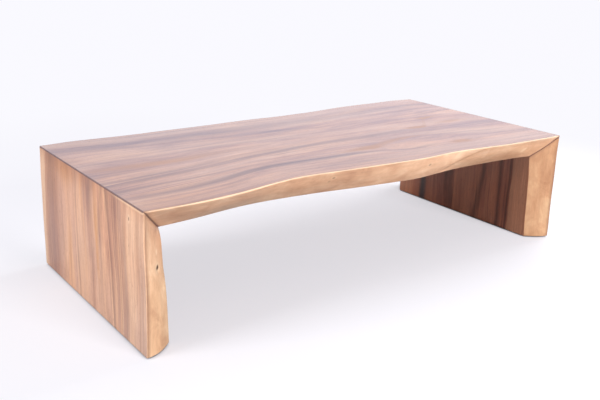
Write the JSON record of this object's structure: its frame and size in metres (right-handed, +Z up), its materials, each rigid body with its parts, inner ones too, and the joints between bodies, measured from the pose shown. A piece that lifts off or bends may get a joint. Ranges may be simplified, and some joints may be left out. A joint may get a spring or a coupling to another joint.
{
  "type": "coffee table",
  "caption": "Low waterfall coffee table: one thick live-edge wood slab folded down over both ends at mitred corners.",
  "frame": {"origin": "on the floor, under the middle of the table's bounding box", "axes": "+X along the table's length, +Y across it to the back, +Z up"},
  "size_m": [1.6, 0.7558, 0.38],
  "materials": {
    "slab_wood": "figured raintree heartwood with pale sapwood live edges, clear satin lacquer",
    "tenon_wood": "plain beech loose tenon, planed",
    "glide_nylon": "dark brown moulded nylon",
    "nail_steel": "zinc-plated steel"
  },
  "bodies": {
    "root": {"top_slab": "slab_wood", "left_leg_slab": "slab_wood", "right_leg_slab": "slab_wood", "left_mitre_tenon_1": "tenon_wood", "left_mitre_tenon_2": "tenon_wood", "left_mitre_tenon_3": "tenon_wood", "left_mitre_tenon_4": "tenon_wood", "left_mitre_tenon_5": "tenon_wood", "left_mitre_tenon_6": "tenon_wood", "right_mitre_tenon_1": "tenon_wood", "right_mitre_tenon_2": "tenon_wood", "right_mitre_tenon_3": "tenon_wood", "right_mitre_tenon_4": "tenon_wood", "right_mitre_tenon_5": "tenon_wood", "right_mitre_tenon_6": "tenon_wood", "left_front_glide": "glide_nylon", "left_middle_glide": "glide_nylon", "left_back_glide": "glide_nylon", "right_front_glide": "glide_nylon", "right_middle_glide": "glide_nylon", "right_back_glide": "glide_nylon", "left_front_glide_nail": "nail_steel", "left_middle_glide_nail": "nail_steel", "left_back_glide_nail": "nail_steel", "right_front_glide_nail": "nail_steel", "right_middle_glide_nail": "nail_steel", "right_back_glide_nail": "nail_steel"}
  },
  "joints": []
}
